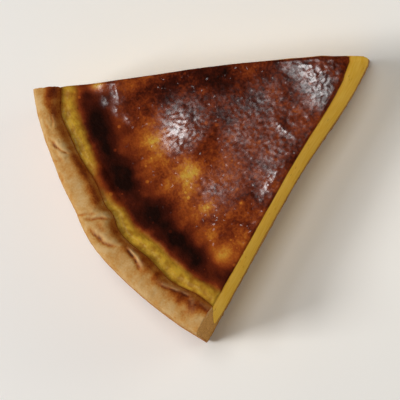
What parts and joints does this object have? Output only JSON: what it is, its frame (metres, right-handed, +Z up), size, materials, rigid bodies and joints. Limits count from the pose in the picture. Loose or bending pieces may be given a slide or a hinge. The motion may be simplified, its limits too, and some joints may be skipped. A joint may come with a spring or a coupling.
{
  "type": "slice of custard flan",
  "caption": "Wedge of baked custard flan: set yellow custard with a browned, blistered skin in a folded shortcrust shell, resting flat on its base.",
  "frame": {"origin": "middle of the slice's footprint, on the surface that it rests on", "axes": "+Z up through the slice, +X from the pastry rim towards the tip"},
  "size_m": [0.1246, 0.111, 0.0409],
  "materials": {
    "baked_pastry": "dry baked shortcrust, light tan on the rim and browner on its inner slope",
    "set_custard": "moist set custard, yellow where cut, with a glossy dark brown skin"
  },
  "bodies": {
    "root": {"pastry_crust": "baked_pastry", "custard_filling": "set_custard"}
  },
  "joints": []
}
